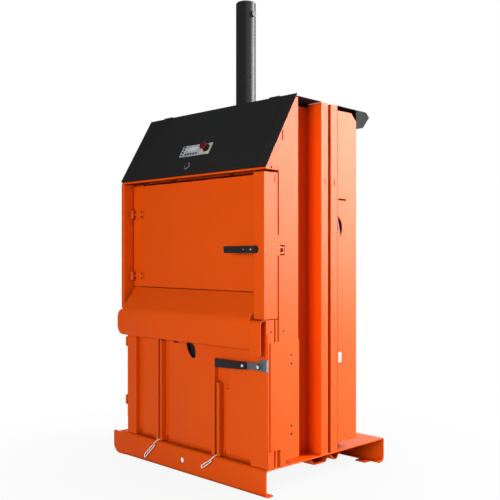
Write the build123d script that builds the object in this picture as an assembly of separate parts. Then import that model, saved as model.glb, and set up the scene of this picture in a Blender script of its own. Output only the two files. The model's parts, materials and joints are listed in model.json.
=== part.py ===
from build123d import *
import os
from math import hypot, pi, radians, tan

# Upright baling press for card and film: a welded sheet frame on a low base, a bale
# chamber behind two side-hung front doors, a vertical ram above and a sloping black
# hood. X runs to the machine's right, Y into the machine, Z up, all in millimetres.

# Body
HALF_WIDTH = 520.0
SHEET = 3.0
PLATE = 6.0
BEND = 4.0
SEAT_GAP = 0.3
PANEL_INSET = 4.0

# Base
BASE_TOP = 118.0
BASE_DEPTH = 840.0
BASE_LEFT = 535.0
BASE_EAR = 582.0
EAR_TOP_R = 6.0
EAR_LOW_R = 50.0
BASE_LIP = 46.0
BASE_BEND = 12.0
REAR_BEND = 26.0
REAR_LIP = 40.0
ANCHOR_TAB = 30.0
LIFT_HOLE_R = 13.0
LIFT_HOLE_Z = 60.0
ANCHOR_R = 9.0
ANCHOR_X = 440.0
ANCHOR_FRONT = 29.0
ANCHOR_REAR = 57.0
RIB_DEPTH = 36.0
RIB_TAPER = 26.0
RIB_Y = (368.0, 478.0)
RIB_WIDTH = (130.0, 72.0)
RIB_HALF = 505.0

# Chamber
WALL_OUT = 436.0
WALL = 4.0
CHAMBER_FRONT = 77.0
CHAMBER_BACK = 590.0
WALL_TOP = 1700.0
WALL_STEP = 1372.0
HOOD_WALL_Y = 100.0
HOOD_WALL_Z = 1500.0
FLOOR_TOP = 146.0
FLOOR_FRONT = 46.0
STRAP_X = 207.0
STRAP_SLOT = 24.0
STRAP_SLOT_TOP = 1150.0

# Front posts beside the bale door
POST_FRONT = 17.0
POST_LEFT_FRONT = 42.0
POST_BACK = 76.0
POST_TOP = 748.0
POST_GROOVE_Y = 56.0
POST_GROOVE_W = 8.0
POST_GROOVE_D = 14.0

# Side panels and plates
PANEL_FRONT = 84.0
PANEL_BACK = 207.0
PANEL_BOTTOM = 142.0
PANEL_FOOT_BACK = 125.0
PANEL_FLANGE = 72.0
SIDE_PLATE_FRONT = 30.0
SIDE_PLATE_BACK = 209.0
SIDE_PLATE_TOP = 652.0
SIDE_PLATE_STEP = 191.0
SIDE_PLATE_BOLT_Y = 160.0
SIDE_PLATE_BOLT_Z = (590.0, 553.0, 284.0, 248.0)
SIDE_BOLT_R = 5.5
POST_BOLT_Y = 38.0
POST_BOLT_DROP = 50.0
PANEL_BOLT_IN = 30.0
HOOD_BOLT_Y = 40.0
CATCH_Y = (90.0, 122.0)
CATCH_Z = (1022.0, 1066.0)

# Columns
COLUMN_FRONT = 360.0
COLUMN_BACK = 474.0
COLUMN_TOP = 1714.0
COLUMN_GROOVE = (407.0, 428.0)
COLUMN_GROOVE_D = 30.0
COLUMN_WALL = 5.0

# Rear
REAR_PANEL_FRONT = 476.0
REAR_PANEL_BOTTOM = 155.0
REAR_PANEL_TOP = 1692.0
REAR_CHAMFER = 34.0
COVER_Y = 613.0
REAR_RETURN = 32.0
LABEL_Y = (480.0, 506.0)
LABEL_Z = (525.0, 573.0)
LABEL_T = 1.0
VENT_COUNT = 9
VENT_PITCH = 26.0
VENT_Z = 1420.0

# Roof and hood
HOOD_FRONT_Z = 1400.0
HOOD_TOP_Y = 195.0
HOOD_TOP_Z = 1732.0
HOOD_T = 4.0
ROOF_FRONT_Z = 1721.0
ROOF_REAR_Z = 1711.0
VISOR_TIP = (717.0, 1689.0)
VISOR_LOW = (668.0, 1634.0)
VISOR_IN = (624.0, 1627.0)
HOOD_BORDER = 74.0
HATCH_HALF = HALF_WIDTH - HOOD_BORDER
HATCH_BOTTOM = 22.0
HATCH_GAP = 1.0
HATCH_FLANGE = 15.0
HATCH_AXIS = (203.0, 1733.0)
HATCH_HINGES = (-380.0, 380.0)
HATCH_KNUCKLE_R = 5.0
HATCH_PIN_R = 2.5
PANEL_X = (-116.0, 97.0)
PANEL_S = (108.0, 172.0)
PANEL_T = 3.0
LOCK_X = -22.0
LOCK_S = 50.0
LOCK_STEM_R = 7.0
ESTOP_X = 66.0
ESTOP_S = 141.0
ESTOP_STEM_R = 8.0
ESTOP_R = 20.0
ESTOP_TRAVEL = 5.0
HEADER_Z = (1386.0, 1396.0)

# Upper door
DOOR_FACE = 60.0
DOOR_LEFT = 490.0
DOOR_TOP = 1374.0
DOOR_BOTTOM = 864.0
DOOR_HEM = 13.0
STILE_X = 458.0
STILE_FRONT = -10.0
STILE_BACK = 72.0
STILE_BOTTOM = 752.0
STILE_PLAY = 4.0
CHEEK_IN = 496.0
CHEEK_FRONT = 1.5
CHEEK_BACK = 72.0
UPPER_AXIS = (-478.0, 42.0)
UPPER_HINGE_Z = (1231.0, 917.0)
UPPER_KNUCKLE_R = 9.0
HANDLE_X = 470.0
HANDLE_Z = 1047.0
HANDLE_LENGTH = 183.0
HANDLE_END = 9.0
HANDLE_HEIGHT = 31.0

# Bale door
BALE_FACE = 10.0
BALE_LEFT = 477.0
BALE_RIGHT = 517.0
BALE_BACK = 38.0
BALE_FOOT = 120.0
BALE_NOTCH = 25.0
NOTCH_IN = 3.0
NOTCH_SIDE = 17.0
NOTCH_GUIDE = 9.0
NOTCH_RIGHT = 97.0
SKIN_TOP = 622.0
NOSE_FRONT = -31.0
NOSE_FOLD_Z = 748.0
NOSE_TOP = 862.5
NOSE_TOP_Y = 56.0
NOSE_LOW_Z = 622.5
NOSE_BEND = 48.0
NOSE_CORNER = 48.0
NOSE_LEFT = 506.0
NOSE_RIGHT = 519.0
NOSE_SLOPE_LEFT = 469.0
NOSE_SLOPE_RIGHT = 454.0
NOSE_BACK_HALF = 431.0
TONGUE_BOTTOM = 597.0
TONGUE_BACK = 15.0
TONGUE_BEND = 14.0
LOWER_AXIS = (-484.0, 12.0)
LOWER_HINGE_Z = (582.0, 285.0)
LOWER_KNUCKLE_R = 6.5
LOWER_REACH = 490.0
LOWER_EYE = 16.0
LOWER_HINGE_H = 44.0
LEAF = 5.0
PIN_WALL = 3.0
UPPER_HINGE_H = 40.0
UPPER_EYE = 12.4
UPPER_LEAF = 74.0
HINGE_PLAY = 0.5
CHANNELS = ((-406.0, -343.0), (-225.0, -139.0), (186.0, 259.0))
SLIT_WIDTH = 15.0
GUIDE_WIDTH = (14.0, 18.0)
GUIDE_CUT = 10.0
LATCH_X = 482.0
LATCH_Z = 550.0
GRIP_X = (223.0, 412.0)
GRIP_LEFT_Z = (525.0, 563.0)
GRIP_RIGHT_Z = (533.0, 564.0)
LATCH_PLATE_X = (473.0, 519.5)
LATCH_PLATE_Z = (530.0, 580.0)
WIDE_RIGHT = 280.0
WIDE_Z = (430.0, 562.0)
HAND_X = 25.0
HAND_Z = 580.0

# Ram and platen
RAM_Y = 392.0
TUBE_R = 50.0
TUBE_WALL = 8.0
TUBE_BOTTOM = 1530.0
TUBE_TOP = 2290.0
CAP_T = 20.0
ROD_R = 25.0
RUN = 0.05
PISTON_T = 40.0
STROKE = 640.0
GLAND_T = 45.0
BEAM_Y = (332.0, 452.0)
BEAM_Z = (1580.0, 1680.0)
BEAM_WALL = 8.0
FLANGE_HALF = 75.0
FLANGE_T = 16.0
SHOE_T = 11.0
SHOE_RUN = 1.0
SHOE_HALF = 30.0
SHOE_Y = (180.0, 500.0)
PLATEN_HALF = WALL_OUT - WALL - SHOE_RUN - SHOE_T
PLATEN_Y = (100.0, 582.0)
PLATEN_BOTTOM = 1388.0
PLATEN_T = 10.0
PLATEN_H = 70.0
PLATEN_RIB = 8.0
SOCKET_H = 70.0
SOCKET_R = 44.0
PORT_Z = 1704.0

# Services under the hood
SHELF_Z = 1534.0
SHELF_Y = (110.0, 330.0)
SHELF_LIP = (30.0, 20.0)
TANK_X = (-400.0, -200.0)
TANK_Y = (200.0, 322.0)
TANK_H = 120.0
MOTOR_R = 55.0
MOTOR_L = 150.0
BOX_X = (120.0, 400.0)
BOX_Y = (196.0, 322.0)
BOX_H = 130.0
PIPE_R = 6.0

# Strap supply
SPOOL_Y = 545.0
SPOOL_Z = 684.0
SPOOL_R = 56.0
SPOOL_HUB_R = 22.0
SPOOL_BORE = 8.0
SPOOL_X = (444.0, 508.0)

# Straps
CORD_R = 2.5
TAIL_LEFT = (
    (-216, 68, 123.6), (-216, 37, 123.6), (-217, 5, 124.5), (-223, -12.5, 109), (-239, -14.5, 93),
    (-262, -14, 74), (-282, -13, 58.5), (-295, -12.5, 46), (-304, -12.5, 36), (-302.3, -13, 29.2),
    (-295.6, -14, 27.3), (-286, -15, 35.5), (-268, -15.5, 53), (-246, -15.5, 72.5), (-228, -15, 88),
    (-216, -15, 101),
)
TAIL_RIGHT = (
    (198, 68, 123.6), (198, 38, 123.6), (198.5, 9, 125), (196.5, -11, 113), (181, -14.5, 100),
    (164, -14, 90), (147, -13, 80.5), (134, -12.5, 73), (124, -12.5, 67.5), (123.9, -13, 60.5),
    (129.9, -14, 56.9), (140.5, -15, 62.7), (157, -15.5, 73.3), (174, -15.5, 84.6), (187, -15.5, 93.6),
    (196, -15.5, 101),
)
STRAND = (
    (513, 479.7, 1204), (513, 486, 1172), (513, 497, 1138), (512, 511, 1098), (511, 528, 1048),
    (509, 545, 990), (507, 556, 930), (506, 560, 868), (506, 559, 806), (507, 556, 744),
)


def block(x0, x1, y0, y1, z0, z1):
    """Box between two opposite corners."""
    size = (abs(x1 - x0), abs(y1 - y0), abs(z1 - z0))
    return Pos((x0 + x1) / 2, (y0 + y1) / 2, (z0 + z1) / 2) * Box(*size)


def bar(start, direction, radius, length):
    """Round bar from a start point along a direction."""
    place = Plane(origin=start, z_dir=direction)
    return place * Pos(0, 0, length / 2) * Cylinder(radius, length)


def band(points, radius, thickness):
    """Section of a sheet folded along a line of points, seen end on."""
    return trace(FilletPolyline(*points, radius=radius), thickness)


def outline(points):
    """Flat face inside a closed line of points."""
    return make_face(Polyline(*points, close=True))


def along_x(face, x0, x1):
    """Section drawn in Y and Z, carried from x0 to x1."""
    return extrude(Plane.YZ.offset(x0) * face, amount=x1 - x0, dir=(1, 0, 0))


def along_y(face, y0, y1):
    """Section drawn in X and Z, carried from y0 to y1."""
    return extrude(Plane.XZ.offset(-y0) * face, amount=y1 - y0, dir=(0, 1, 0))


def along_z(face, z0, z1):
    """Section drawn in X and Y, carried from z0 to z1."""
    return extrude(Pos(0, 0, z0) * face, amount=z1 - z0, dir=(0, 0, 1))


def other_side(shape):
    """The same piece on the machine's left."""
    return mirror(shape, about=Plane.YZ)


def group(shapes):
    """Separate solids kept together as one piece of hardware."""
    solids = []
    for shape in shapes:
        solids.extend(shape.solids())
    return Compound(solids)


SLOPE_LENGTH = hypot(HOOD_TOP_Y, HOOD_TOP_Z - HOOD_FRONT_Z)
SLOPE_Y = HOOD_TOP_Y / SLOPE_LENGTH
SLOPE_Z = (HOOD_TOP_Z - HOOD_FRONT_Z) / SLOPE_LENGTH
SLOPE = Plane(origin=(0, 0, HOOD_FRONT_Z), x_dir=(1, 0, 0), z_dir=(0, -SLOPE_Z, SLOPE_Y))
PANEL_FACE = HALF_WIDTH - PANEL_INSET


def base_frame():
    """Base plate with a C-folded flange along the front and the rear."""
    mid = PLATE / 2
    top = BASE_TOP - mid
    front = band(
        [(BASE_LIP, mid), (mid, mid), (mid, top), (BASE_DEPTH / 2, top)], BASE_BEND, PLATE)
    wall = BASE_DEPTH - mid
    rear = band([(BASE_DEPTH / 2, top), (wall, top), (wall, BASE_TOP / 2)], BEND, PLATE)
    rear += band([(wall, BASE_TOP / 2), (wall, mid), (BASE_DEPTH - REAR_LIP, mid)], REAR_BEND, PLATE)
    body = along_x(front + rear, -BASE_LEFT, HALF_WIDTH)
    for x in (-ANCHOR_X, ANCHOR_X):
        body += block(x - ANCHOR_TAB, x + ANCHOR_TAB, BASE_DEPTH - ANCHOR_REAR - ANCHOR_TAB,
                      BASE_DEPTH - REAR_LIP + 1, 0, PLATE)
    ear = Pos((HALF_WIDTH - BASE_EAR) / 2, BASE_TOP / 2) * Rectangle(
        HALF_WIDTH + BASE_EAR, BASE_TOP - 2 * SHEET)
    ear = fillet(ear.vertices().sort_by(Axis.X)[:2].sort_by(Axis.Y)[0], EAR_LOW_R)
    ear = fillet(ear.vertices().sort_by(Axis.Y)[-2:].sort_by(Axis.X)[0], EAR_TOP_R)
    ear = along_y(ear, 0, PLATE)
    ear -= block(-BASE_LEFT + BASE_LIP, HALF_WIDTH, -PLATE, 2 * PLATE, -PLATE, BASE_TOP)
    body += ear
    middle = (HALF_WIDTH - BASE_EAR) / 2
    body -= bar((middle, -PLATE, LIFT_HOLE_Z), (0, 1, 0), LIFT_HOLE_R, 3 * PLATE)
    for x in (-ANCHOR_X, ANCHOR_X):
        for y in (ANCHOR_FRONT, BASE_DEPTH - ANCHOR_REAR):
            body -= bar((x, y, -PLATE), (0, 0, 1), ANCHOR_R, 3 * PLATE)
    return body


def base_ribs():
    """Two hat-section stiffeners welded under the base plate."""
    top = BASE_TOP - PLATE
    ribs = []
    for y, width in zip(RIB_Y, RIB_WIDTH):
        half = width / 2
        line = [(y - half, top - SHEET / 2), (y - half + RIB_TAPER, top - RIB_DEPTH + SHEET / 2),
                (y + half - RIB_TAPER, top - RIB_DEPTH + SHEET / 2), (y + half, top - SHEET / 2)]
        hat = along_x(band(line, BEND, SHEET), -RIB_HALF, RIB_HALF)
        ribs.append(hat - block(-BASE_EAR, BASE_EAR, 0, BASE_DEPTH, top, BASE_TOP + PLATE))
    return group(ribs)


def strap_slots(y0, y1, z0, z1):
    """Clearance for the two tying straps."""
    half = STRAP_SLOT / 2
    cuts = []
    for x in (-STRAP_X, STRAP_X):
        cuts.append(block(x - half, x + half, y0, y1, z0, z1))
    return cuts


def floor_tray():
    """Chamber floor, folded down front and rear, with two strap grooves."""
    half = WALL_OUT - WALL - SEAT_GAP
    back = CHAMBER_BACK - SEAT_GAP - SHEET / 2
    line = [(FLOOR_FRONT, BASE_TOP), (FLOOR_FRONT, FLOOR_TOP - SHEET / 2),
            (back, FLOOR_TOP - SHEET / 2), (back, BASE_TOP)]
    tray = along_x(band(line, BEND, SHEET), -half, half)
    for cut in strap_slots(0, CHAMBER_BACK - STRAP_SLOT, BASE_TOP + SHEET, FLOOR_TOP + SHEET):
        tray -= cut
    return tray


def side_wall():
    """Right wall of the bale chamber, stepped back under the hood."""
    face = outline([(CHAMBER_FRONT, BASE_TOP), (CHAMBER_FRONT, WALL_STEP), (HOOD_WALL_Y, WALL_STEP),
                    (HOOD_WALL_Y, HOOD_WALL_Z), (PANEL_BACK, HOOD_WALL_Z), (PANEL_BACK, WALL_TOP),
                    (CHAMBER_BACK + WALL, WALL_TOP), (CHAMBER_BACK + WALL, BASE_TOP)])
    return along_x(face, WALL_OUT - WALL, WALL_OUT)


def chamber_shell():
    """Bale chamber: two side walls and a rear wall with the strap channels cut through."""
    right = side_wall()
    shell = block(-WALL_OUT, WALL_OUT, CHAMBER_BACK, CHAMBER_BACK + WALL, BASE_TOP, WALL_TOP)
    shell += right + other_side(right)
    for cut in strap_slots(CHAMBER_BACK - WALL, CHAMBER_BACK + 2 * WALL, FLOOR_TOP + STRAP_SLOT,
                           STRAP_SLOT_TOP):
        shell -= cut
    return shell


def post(front):
    """Rolled post beside the bale door, with a groove down its outer face."""
    out = PANEL_FACE
    g0 = POST_GROOVE_Y
    g1 = POST_GROOVE_Y + POST_GROOVE_W
    deep = out - POST_GROOVE_D
    shell = outline([(WALL_OUT, front), (out, front), (out, g0), (deep, g0), (deep, g1), (out, g1),
                     (out, POST_BACK), (WALL_OUT, POST_BACK)])
    shell -= offset(shell, amount=-SHEET, kind=Kind.INTERSECTION)
    return along_z(shell, BASE_TOP, POST_TOP)


def post_right():
    """Right post, with the keeper slot for the bale door latch."""
    slot = block(LATCH_X + 12, LATCH_X + 26, POST_FRONT - SHEET, POST_FRONT + 2 * SHEET,
                 LATCH_Z - 14, LATCH_Z + 14)
    return post(POST_FRONT) - slot


def post_left():
    """Left post, set back behind the bale door hinges."""
    return other_side(post(POST_LEFT_FRONT))


def lower_side_plate(front):
    """Doubler plate on the lower front corner of a side."""
    face = outline([(front, SIDE_PLATE_STEP), (front, SIDE_PLATE_TOP),
                    (SIDE_PLATE_BACK, SIDE_PLATE_TOP), (SIDE_PLATE_BACK, PANEL_BOTTOM),
                    (PANEL_FOOT_BACK, PANEL_BOTTOM), (PANEL_FOOT_BACK, BASE_TOP),
                    (PANEL_FRONT + 6, BASE_TOP), (PANEL_FRONT + 6, SIDE_PLATE_STEP)])
    return along_x(face, PANEL_FACE, HALF_WIDTH)


def frame_bolts():
    """Button-head bolts that hold the side casings and plates."""
    places = [(POST_BOLT_Y, POST_TOP - POST_BOLT_DROP, PANEL_FACE),
              (PANEL_FRONT + PANEL_BOLT_IN, POST_TOP - POST_BOLT_DROP, PANEL_FACE),
              (HOOD_BOLT_Y, HEADER_Z[1], PANEL_FACE)]
    for z in SIDE_PLATE_BOLT_Z:
        places.append((SIDE_PLATE_BOLT_Y, z, HALF_WIDTH))
    out = []
    for y, z, x in places:
        for side in (-1, 1):
            if side < 0 and y < POST_LEFT_FRONT and z < POST_TOP:
                continue
            out.append(bar((side * x, y, z), (side, 0, 0), SIDE_BOLT_R, 3))
    return group(out)


def side_panel_front(catch):
    """Front side casing that rises to carry the sloping hood."""
    inner = PANEL_FACE - SHEET
    drop = HOOD_T / SLOPE_Y
    start = HOOD_T / SLOPE_Z
    face = outline([(start, HEADER_Z[0]), (PANEL_FRONT, HEADER_Z[0]), (PANEL_FRONT, BASE_TOP),
                    (PANEL_FOOT_BACK, BASE_TOP), (PANEL_FOOT_BACK, PANEL_BOTTOM),
                    (PANEL_BACK, PANEL_BOTTOM), (PANEL_BACK, ROOF_FRONT_Z - SHEET - SEAT_GAP),
                    (HOOD_TOP_Y, ROOF_FRONT_Z - SHEET - SEAT_GAP), (HOOD_TOP_Y, HOOD_TOP_Z - drop),
                    (start, HOOD_FRONT_Z)])
    panel = along_x(face, inner, PANEL_FACE)
    near = WALL_OUT
    panel += block(near, inner + SHEET / 2, PANEL_FRONT, PANEL_FRONT + SHEET, BASE_TOP, HEADER_Z[0])
    panel += block(near, inner + SHEET / 2, PANEL_BACK - SHEET, PANEL_BACK, PANEL_BOTTOM,
                   ROOF_FRONT_Z - SHEET - SEAT_GAP)
    if catch:
        panel -= block(inner - SHEET, PANEL_FACE + SHEET, CATCH_Y[0], CATCH_Y[1], CATCH_Z[0], CATCH_Z[1])
    panel -= block(inner - SHEET, PANEL_FACE + SHEET, 105, 111, 1518, 1560)
    return panel


def column():
    """Press column: a folded section with a groove between its two outer faces."""
    g0, g1 = COLUMN_GROOVE
    deep = HALF_WIDTH - COLUMN_GROOVE_D
    shell = outline([(WALL_OUT, COLUMN_FRONT), (HALF_WIDTH, COLUMN_FRONT), (HALF_WIDTH, g0),
                     (deep, g0), (deep, g1), (HALF_WIDTH, g1), (HALF_WIDTH, COLUMN_BACK),
                     (WALL_OUT, COLUMN_BACK)])
    shell -= offset(shell, amount=-COLUMN_WALL, kind=Kind.INTERSECTION)
    body = along_z(shell, BASE_TOP, COLUMN_TOP)
    for y in (386.0, 453.0):
        body -= block(HALF_WIDTH - 2 * COLUMN_WALL, HALF_WIDTH + SHEET, y - 3, y + 3, 1342, 1370)
    return body


def leaf_hole():
    """Leaf-shaped hand hole, drawn in Y and Z."""
    low = (498.0, 1110.0)
    high = (480.0, 1203.0)
    right = ThreePointArc(low, (511.0, 1150.0), high)
    left = ThreePointArc(high, (477.0, 1150.0), low)
    return make_face(Wire([right, left]))


def side_panel_rear():
    """Rear side casing with a hand slot, a leaf hole and a clipped top corner."""
    inner = HALF_WIDTH - SHEET
    face = outline([(REAR_PANEL_FRONT, REAR_PANEL_BOTTOM), (REAR_PANEL_FRONT, REAR_PANEL_TOP),
                    (COVER_Y - REAR_CHAMFER, REAR_PANEL_TOP), (COVER_Y, REAR_PANEL_TOP - REAR_CHAMFER),
                    (COVER_Y, REAR_PANEL_BOTTOM)])
    panel = along_x(face, inner, HALF_WIDTH)
    for y in (COLUMN_BACK, COVER_Y - SHEET):
        panel += block(HALF_WIDTH - REAR_RETURN, inner + SHEET / 2, y, y + SHEET, REAR_PANEL_BOTTOM,
                       REAR_PANEL_TOP - REAR_CHAMFER)
    panel -= block(inner - SHEET, HALF_WIDTH + SHEET, 479, 539, 1277, 1285)
    panel -= along_x(leaf_hole(), inner - SHEET, HALF_WIDTH + SHEET)
    return panel


def side_panel_rear_right():
    """Right rear casing with a shallow seat for the type plate."""
    y0, y1 = LABEL_Y
    z0, z1 = LABEL_Z
    return side_panel_rear() - block(HALF_WIDTH - LABEL_T, HALF_WIDTH + 1, y0, y1, z0, z1)


def type_plate():
    """Small bare plate, let into the right rear casing."""
    y0, y1 = LABEL_Y
    z0, z1 = LABEL_Z
    gap = SEAT_GAP
    return block(HALF_WIDTH - LABEL_T, HALF_WIDTH - 0.2, y0 + gap, y1 - gap, z0 + gap, z1 - gap)


def rear_cover():
    """Rear cover sheet with cooling slots behind the power unit."""
    top = REAR_PANEL_TOP - REAR_CHAMFER
    cover = block(-HALF_WIDTH, HALF_WIDTH, COVER_Y, COVER_Y + SHEET, REAR_PANEL_BOTTOM, top)
    for i in range(VENT_COUNT):
        z = VENT_Z + i * VENT_PITCH
        for x in (-260.0, 260.0):
            slot = Pos(x, z) * SlotOverall(180, 9)
            cover -= along_y(slot, COVER_Y - SHEET, COVER_Y + 2 * SHEET)
    return cover


def roof():
    """Roof sheet that runs back into a closed rear visor, notched round the columns."""
    half_t = SHEET / 2
    line = [(HOOD_TOP_Y + HOOD_T, ROOF_FRONT_Z - half_t), (VISOR_TIP[0] - 24, ROOF_REAR_Z - half_t),
            VISOR_TIP, VISOR_LOW, VISOR_IN]
    sheet = along_x(band(line, BEND, SHEET), -HALF_WIDTH, HALF_WIDTH)
    cheek = outline([(COVER_Y + SHEET, ROOF_REAR_Z - half_t), (VISOR_TIP[0] - 24, ROOF_REAR_Z - half_t),
                     VISOR_TIP, VISOR_LOW, VISOR_IN, (COVER_Y + SHEET, VISOR_IN[1])])
    right = along_x(cheek, HALF_WIDTH - SHEET, HALF_WIDTH)
    sheet += right + other_side(right)
    notch = block(WALL_OUT - SEAT_GAP, HALF_WIDTH + SHEET, COLUMN_FRONT - SEAT_GAP, COLUMN_BACK + SEAT_GAP,
                  COLUMN_TOP - 4 * PLATE, COLUMN_TOP + 4 * PLATE)
    sheet -= notch + other_side(notch)
    sheet -= bar((0, RAM_Y, ROOF_REAR_Z - 4 * PLATE), (0, 0, 1), TUBE_R + 4, 8 * PLATE)
    return sheet


def hood_frame():
    """Black border of the sloping hood, beside and below the service hatch."""
    plate = block(-HALF_WIDTH, HALF_WIDTH, 0, SLOPE_LENGTH, -HOOD_T, 0)
    plate -= block(-HATCH_HALF, HATCH_HALF, HATCH_BOTTOM, SLOPE_LENGTH + 1, -2 * HOOD_T, HOOD_T)
    return SLOPE * plate


def hood_hatch():
    """Service hatch in the hood, folded inwards at its sides and foot, hung from its top edge."""
    x = HATCH_HALF - HATCH_GAP
    s0 = HATCH_BOTTOM + HATCH_GAP
    plate = block(-x, x, s0, SLOPE_LENGTH, -HOOD_T, 0)
    rim = block(-x, x, s0, SLOPE_LENGTH - HATCH_FLANGE, -HATCH_FLANGE, 0)
    plate += rim - block(-x + SHEET, x - SHEET, s0 + SHEET, SLOPE_LENGTH, -HATCH_FLANGE - 1, 1)
    plate -= bar((LOCK_X, LOCK_S, -2 * HOOD_T), (0, 0, 1), LOCK_STEM_R + RUN, 4 * HOOD_T)
    plate -= bar((ESTOP_X, ESTOP_S, -2 * HOOD_T), (0, 0, 1), ESTOP_STEM_R + 1, 4 * HOOD_T)
    hatch = SLOPE * plate
    y, z = HATCH_AXIS
    for x in HATCH_HINGES:
        web = outline([(HOOD_TOP_Y - 5, HOOD_TOP_Z - 9), (HOOD_TOP_Y + 3, HOOD_TOP_Z - 3),
                       (y, z + HATCH_KNUCKLE_R - 1), (y + 1, z - HATCH_KNUCKLE_R + 1)])
        hatch += along_x(web, x - 11, x + 11)
        hatch += bar((x - 11, y, z), (1, 0, 0), HATCH_KNUCKLE_R, 22)
        hatch -= bar((x - 12, y, z), (1, 0, 0), HATCH_PIN_R + RUN, 24)
    return hatch


def hatch_hinges():
    """Fixed halves of the hatch hinges with their pins, on the roof behind the hood."""
    y, z = HATCH_AXIS
    out = []
    for x in HATCH_HINGES:
        hinge = bar((x - 31, y, z), (1, 0, 0), HATCH_PIN_R, 62)
        for x0 in (x - 31, x + 12):
            hinge += bar((x0, y, z), (1, 0, 0), HATCH_KNUCKLE_R, 19)
            hinge += block(x0, x0 + 19, y - 1, y + 3, ROOF_FRONT_Z - 0.1, z)
        out.append(hinge)
    return group(out)


def control_panel():
    """Control plate on the hatch."""
    cx = (PANEL_X[0] + PANEL_X[1]) / 2
    cs = (PANEL_S[0] + PANEL_S[1]) / 2
    wide = PANEL_X[1] - PANEL_X[0]
    tall = PANEL_S[1] - PANEL_S[0]
    plate = extrude(Pos(cx, cs) * RectangleRounded(wide, tall, 5), amount=PANEL_T)
    plate = fillet(plate.faces().sort_by(Axis.Z)[-1].edges(), 1)
    plate -= bar((ESTOP_X, ESTOP_S, -1), (0, 0, 1), ESTOP_STEM_R + 1, PANEL_T + 2)
    return SLOPE * plate


def estop_collar():
    """Threaded collar that clamps the stop button to the panel."""
    ring = Pos(ESTOP_X, ESTOP_S, PANEL_T + 4) * Cylinder(14.5, 8)
    ring = fillet(ring.faces().sort_by(Axis.Z)[-1].edges(), 2)
    ring -= bar((ESTOP_X, ESTOP_S, 0), (0, 0, 1), ESTOP_STEM_R + RUN, 40)
    return SLOPE * ring


def estop_button():
    """Mushroom head and stem of the emergency stop."""
    base = PANEL_T + 8 + ESTOP_TRAVEL + 1
    profile = outline([(0, 0), (ESTOP_STEM_R, 0), (ESTOP_STEM_R, base), (15, base),
                       (ESTOP_R - 2, base + 5), (ESTOP_R, base + 9), (ESTOP_R - 1.5, base + 14),
                       (ESTOP_R - 6, base + 17), (0, base + 18)])
    return SLOPE * Pos(ESTOP_X, ESTOP_S, 0) * revolve(Plane.XZ * profile, Axis.Z)


def hatch_lock():
    """Quarter-turn lock: round escutcheon, stem and cam."""
    head = bar((LOCK_X, LOCK_S, 0.3), (0, 0, 1), 13, 4)
    head = fillet(head.faces().sort_by(Axis.Z)[-1].edges(), 1.5)
    head -= block(LOCK_X - 8, LOCK_X + 8, LOCK_S - 1.5, LOCK_S + 1.5, 2.3, 6)
    stem = bar((LOCK_X, LOCK_S, -14), (0, 0, 1), LOCK_STEM_R, 15)
    cam = block(LOCK_X - 7, LOCK_X + 7, HATCH_BOTTOM + 6, LOCK_S + 8, -14, -10.5)
    return SLOPE * (head + stem + cam)


def header_beam():
    """Orange header under the hood, above the upper door."""
    low, high = HEADER_Z
    half_t = SHEET / 2
    line = [(SHEET + half_t, low), (SHEET + half_t, high - half_t), (PANEL_FRONT, high - half_t)]
    return along_x(band(line, 2.0, SHEET), -PANEL_FACE + SHEET, PANEL_FACE - SHEET)


def left_cheek():
    """Folded cheek on the left of the upper door, which its hinges hang from."""
    half_t = SHEET / 2
    front = CHEEK_FRONT + half_t
    line = [(-CHEEK_IN - half_t, CHEEK_BACK), (-CHEEK_IN - half_t, front), (-HALF_WIDTH + half_t, front),
            (-HALF_WIDTH + half_t, PANEL_FRONT - half_t), (-WALL_OUT, PANEL_FRONT - half_t)]
    return along_z(band(line, BEND, SHEET), STILE_BOTTOM, HEADER_Z[0] - SEAT_GAP)


def hinge_fixed(axis, z, radius, height, eye, reach_x, reach_y):
    """Outer knuckles, pin and bracket of one side-hung hinge."""
    x, y = axis
    low = z - height / 2
    knuckle = (height - eye) / 2 - HINGE_PLAY
    body = bar((x, y, low), (0, 0, 1), radius - PIN_WALL, height)
    for start in (low, low + height - knuckle):
        body += bar((x, y, start), (0, 0, 1), radius, knuckle)
        body += block(x, reach_x, y, reach_y, start, start + knuckle)
    return body


def upper_hinges_fixed():
    """Frame halves of the two upper door hinges."""
    out = []
    for z in UPPER_HINGE_Z:
        out.append(hinge_fixed(UPPER_AXIS, z, UPPER_KNUCKLE_R, UPPER_HINGE_H, UPPER_EYE, -CHEEK_IN,
                               UPPER_AXIS[1] + PLATE))
    return group(out)


def upper_hinge_leaves():
    """Door halves of the two upper door hinges."""
    x, y = UPPER_AXIS
    r = UPPER_KNUCKLE_R
    out = []
    for z in UPPER_HINGE_Z:
        half = UPPER_EYE / 2
        eye = bar((x, y, z - half), (0, 0, 1), r, UPPER_EYE)
        eye += block(x - 2, x + r, y, DOOR_FACE, z - half, z + half)
        eye += block(x - 2, x + r + 4, DOOR_FACE - 4, DOOR_FACE, z - half, z + half)
        tall = UPPER_HINGE_H / 2
        eye += block(x + r + 1, x + UPPER_LEAF, DOOR_FACE - 4, DOOR_FACE, z - tall, z + tall)
        out.append(eye - bar((x, y, z - UPPER_HINGE_H), (0, 0, 1), r - PIN_WALL + RUN, 2 * UPPER_HINGE_H))
    return group(out)


def upper_door_bolts():
    """Bolts of the upper hinge leaves."""
    out = []
    for z in UPPER_HINGE_Z:
        for dz in (-12.0, 12.0):
            out.append(bar((UPPER_AXIS[0] + UPPER_LEAF - 12, DOOR_FACE - 4, z + dz), (0, -1, 0), 5, 3.5))
    return group(out)


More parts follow.
